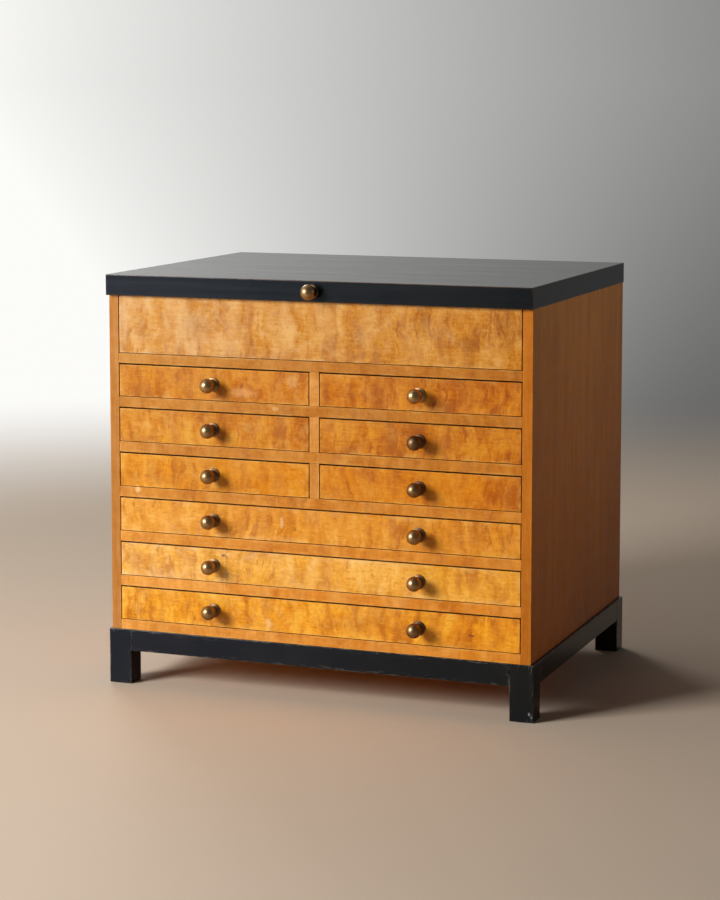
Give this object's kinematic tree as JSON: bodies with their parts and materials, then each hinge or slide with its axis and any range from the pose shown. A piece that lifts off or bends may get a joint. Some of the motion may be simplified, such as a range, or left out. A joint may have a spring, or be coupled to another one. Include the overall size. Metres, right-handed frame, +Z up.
{
  "type": "gentlemans chest",
  "caption": "Birch chest with a black lift-up lid over a shallow well, paired and full-width drawers on brass ball knobs, and a black frame base on square feet.",
  "frame": {"origin": "on the floor, under the middle of the whole chest with its knobs and hinges", "axes": "+X to the right seen from the front, +Y to the back, +Z up"},
  "size_m": [0.892, 0.7052, 0.8281],
  "materials": {
    "flame_birch": "satin golden polish over flame-figured birch veneer",
    "birch_edge": "satin golden polish on plain birch",
    "birch_side": "satin red-brown polish on plain birch",
    "drawer_birch": "bare birch",
    "black_stain": "black stain with a worn satin polish",
    "old_brass": "turned brass with a brown patina"
  },
  "bodies": {
    "carcass": {"side_left": "birch_side", "side_right": "birch_side", "back_panel": "birch_side", "well_front": "flame_birch", "well_floor": "birch_edge", "shelf_1": "birch_edge", "shelf_2": "birch_edge", "shelf_3": "birch_edge", "shelf_4": "birch_edge", "shelf_5": "birch_edge", "bottom_board": "birch_edge", "divider_1": "birch_edge", "divider_2": "birch_edge", "divider_3": "birch_edge", "foot_front_left": "black_stain", "foot_front_right": "black_stain", "foot_back_left": "black_stain", "foot_back_right": "black_stain", "apron_front": "black_stain", "apron_back": "black_stain", "apron_left": "black_stain", "apron_right": "black_stain", "body_hinge_leaf_left": "old_brass", "body_hinge_leaf_right": "old_brass", "hinge_pin_left": "old_brass", "hinge_pin_right": "old_brass"},
    "lid": {"lid_panel": "black_stain", "lid_knob": "old_brass", "lid_hinge_leaf_left": "old_brass", "lid_hinge_leaf_right": "old_brass"},
    "drawer_1_left": {"drawer_1_left_front": "flame_birch", "drawer_1_left_tray": "drawer_birch", "drawer_1_left_knob": "old_brass"},
    "drawer_1_right": {"drawer_1_right_front": "flame_birch", "drawer_1_right_tray": "drawer_birch", "drawer_1_right_knob": "old_brass"},
    "drawer_2_left": {"drawer_2_left_front": "flame_birch", "drawer_2_left_tray": "drawer_birch", "drawer_2_left_knob": "old_brass"},
    "drawer_2_right": {"drawer_2_right_front": "flame_birch", "drawer_2_right_tray": "drawer_birch", "drawer_2_right_knob": "old_brass"},
    "drawer_3_left": {"drawer_3_left_front": "flame_birch", "drawer_3_left_tray": "drawer_birch", "drawer_3_left_knob": "old_brass"},
    "drawer_3_right": {"drawer_3_right_front": "flame_birch", "drawer_3_right_tray": "drawer_birch", "drawer_3_right_knob": "old_brass"},
    "drawer_4": {"drawer_4_front": "flame_birch", "drawer_4_tray": "drawer_birch", "drawer_4_knob_left": "old_brass", "drawer_4_knob_right": "old_brass"},
    "drawer_5": {"drawer_5_front": "flame_birch", "drawer_5_tray": "drawer_birch", "drawer_5_knob_left": "old_brass", "drawer_5_knob_right": "old_brass"},
    "drawer_6": {"drawer_6_front": "flame_birch", "drawer_6_tray": "drawer_birch", "drawer_6_knob_left": "old_brass", "drawer_6_knob_right": "old_brass"}
  },
  "joints": [
    {"name": "lid_hinge", "type": "hinge", "parent": "carcass", "child": "lid", "pos_m": [0, 0.3491, 0.78645], "axis": [-1, 0, 0], "range_deg": [0, 100]},
    {"name": "drawer_1_left_slide", "type": "slide", "parent": "carcass", "child": "drawer_1_left", "axis": [0, -1, 0], "range_m": [0, 0.42]},
    {"name": "drawer_1_right_slide", "type": "slide", "parent": "carcass", "child": "drawer_1_right", "axis": [0, -1, 0], "range_m": [0, 0.42]},
    {"name": "drawer_2_left_slide", "type": "slide", "parent": "carcass", "child": "drawer_2_left", "axis": [0, -1, 0], "range_m": [0, 0.42]},
    {"name": "drawer_2_right_slide", "type": "slide", "parent": "carcass", "child": "drawer_2_right", "axis": [0, -1, 0], "range_m": [0, 0.42]},
    {"name": "drawer_3_left_slide", "type": "slide", "parent": "carcass", "child": "drawer_3_left", "axis": [0, -1, 0], "range_m": [0, 0.42]},
    {"name": "drawer_3_right_slide", "type": "slide", "parent": "carcass", "child": "drawer_3_right", "axis": [0, -1, 0], "range_m": [0, 0.42]},
    {"name": "drawer_4_slide", "type": "slide", "parent": "carcass", "child": "drawer_4", "axis": [0, -1, 0], "range_m": [0, 0.42]},
    {"name": "drawer_5_slide", "type": "slide", "parent": "carcass", "child": "drawer_5", "axis": [0, -1, 0], "range_m": [0, 0.42]},
    {"name": "drawer_6_slide", "type": "slide", "parent": "carcass", "child": "drawer_6", "axis": [0, -1, 0], "range_m": [0, 0.42]}
  ]
}
